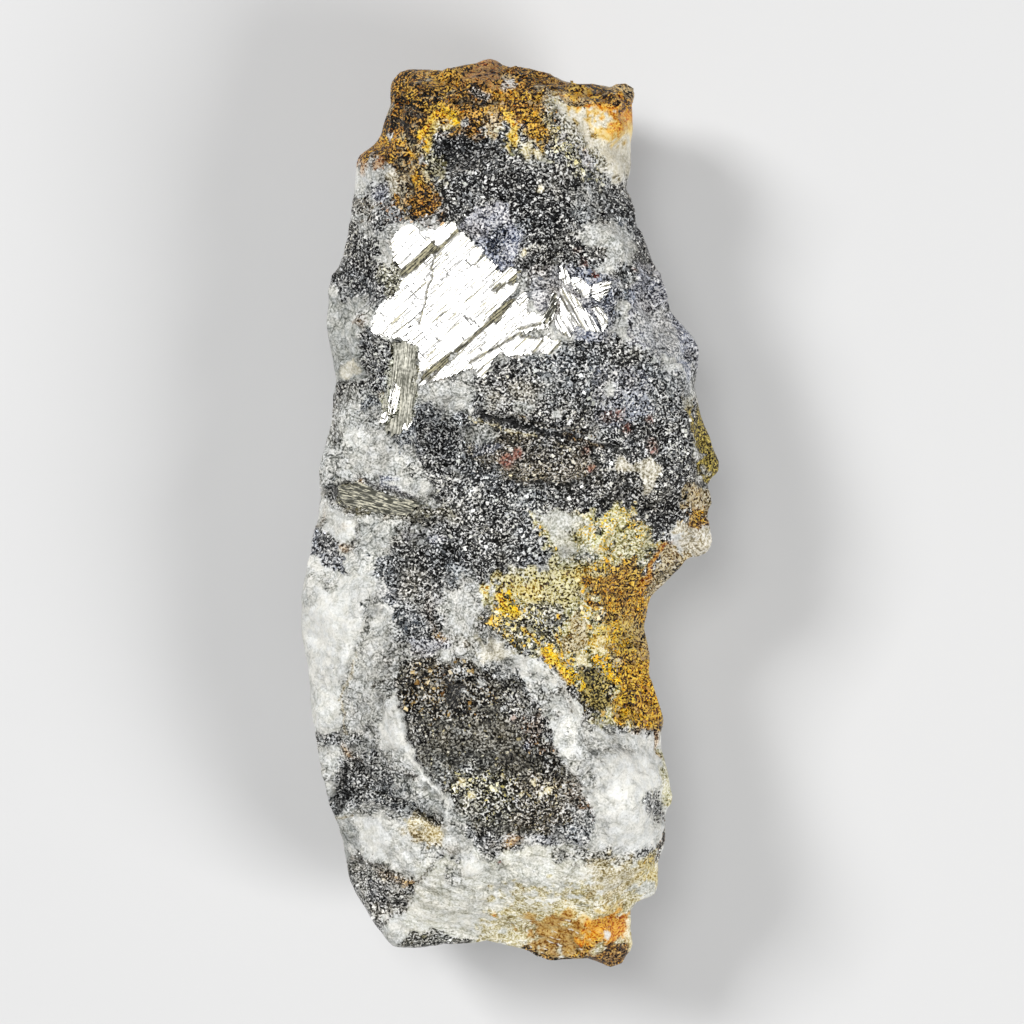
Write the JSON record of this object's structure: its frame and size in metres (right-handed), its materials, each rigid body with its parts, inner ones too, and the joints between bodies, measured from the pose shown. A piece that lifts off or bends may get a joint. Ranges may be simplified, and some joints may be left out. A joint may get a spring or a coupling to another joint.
{
  "type": "native antimony specimen",
  "caption": "Rough hand specimen of native antimony in quartz: one fused stone lying on its back, with a bright cleavage face, dark grainy ground and rusty stains on its face.",
  "frame": {"origin": "on the surface the stone lies on, below the middle of its outline", "axes": "+X across the stone to the right of its face, +Y along the stone to its rusty end, +Z out of its face, away from the surface it lies on"},
  "size_m": [0.038, 0.0814, 0.0234],
  "materials": {
    "stone": "rough broken quartz, white to grey, speckled with dark grains and stained yellow to rust",
    "antimony": "bright silver-white metallic cleavage, finely striated"
  },
  "bodies": {
    "root": {"antimony_quartz_stone": "stone"}
  },
  "joints": []
}
